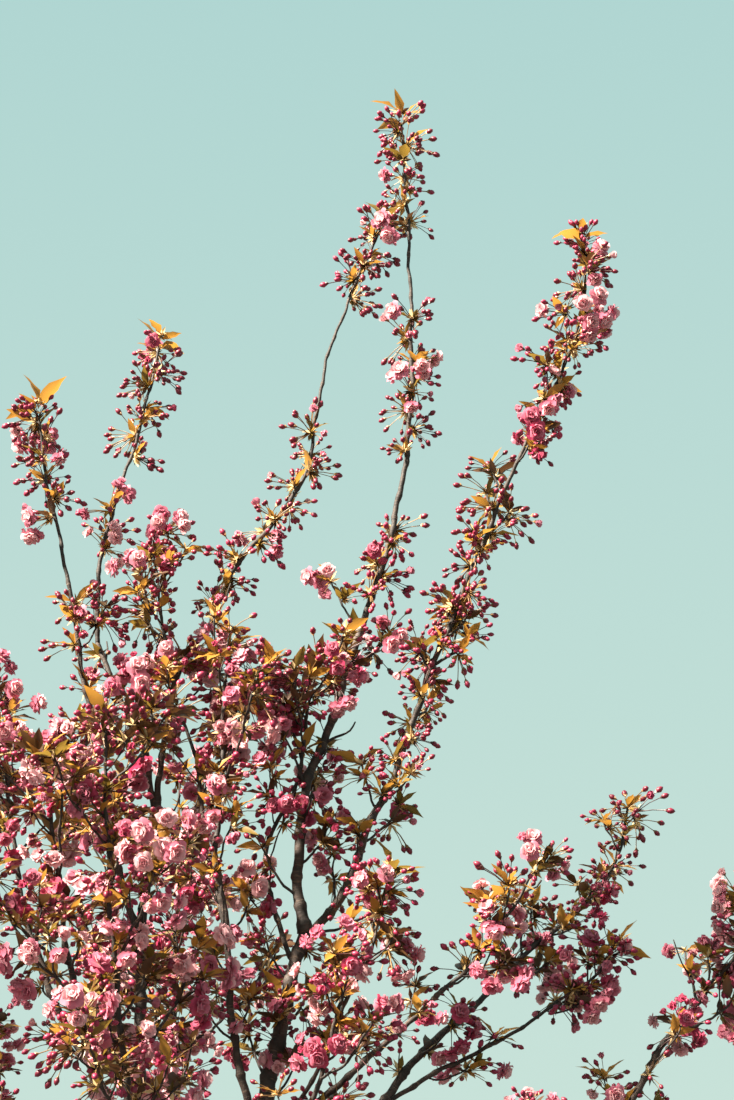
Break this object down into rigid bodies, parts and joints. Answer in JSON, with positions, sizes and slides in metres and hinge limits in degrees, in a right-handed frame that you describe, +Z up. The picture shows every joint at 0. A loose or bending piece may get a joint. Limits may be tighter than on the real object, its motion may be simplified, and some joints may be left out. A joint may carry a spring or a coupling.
{
  "type": "flowering cherry tree",
  "caption": "Rooted double-flowering cherry tree: flared trunk, upright boughs and open twiggy masses of pink blossom and bronze leaves.",
  "frame": {"origin": "centre of the flat cut under the trunk, at ground level", "axes": "+Z up the trunk, +X to the right and +Y away in the view of the picture"},
  "size_m": [2.9016, 2.6518, 5.1039],
  "materials": {
    "bark": "rough, grey-brown, with fine horizontal pores",
    "blossom": "soft matt petals, crimson buds and bronze leaves"
  },
  "bodies": {
    "root": {"trunk": "bark", "leader_bough": "bark", "leader_limb": "bark", "right_limb": "bark", "centre_bough": "bark", "inner_limb": "bark", "small_limb": "bark", "left_centre_bough": "bark", "curved_limb": "bark", "left_inner_limb": "bark", "left_front_limb": "bark", "left_mid_limb": "bark", "lower_left_limb": "bark", "upper_right_bough": "bark", "thin_limb": "bark", "lower_front_limb": "bark", "right_bough": "bark", "right_side_limb": "bark", "far_right_bough": "bark", "left_bough": "bark", "left_upper_limb": "bark", "left_outer_limb": "bark", "left_low_bough": "bark", "front_left_bough": "bark", "front_bough": "bark", "front_low_bough": "bark", "front_right_bough": "bark", "right_low_bough": "bark", "back_right_bough": "bark", "back_bough": "bark", "back_left_bough": "bark", "back_low_bough": "bark", "leader_shoot": "blossom", "right_shoot": "blossom", "centre_shoot": "blossom", "inner_shoot": "blossom", "small_shoot": "blossom", "curved_shoot": "blossom", "left_inner_shoot": "blossom", "left_front_shoot": "blossom", "left_mid_shoot": "blossom", "lower_left_shoot": "blossom", "upper_right_shoot": "blossom", "thin_shoot": "blossom", "lower_front_shoot": "blossom", "right_outer_shoot": "blossom", "right_side_shoot": "blossom", "far_right_shoot": "blossom", "left_upper_shoot": "blossom", "left_outer_shoot": "blossom", "left_low_shoot": "blossom", "front_left_shoot": "blossom", "front_shoot": "blossom", "front_low_shoot": "blossom", "front_right_shoot": "blossom", "right_low_shoot": "blossom", "back_right_shoot": "blossom", "back_shoot": "blossom", "back_left_shoot": "blossom", "back_low_shoot": "blossom"}
  },
  "joints": []
}
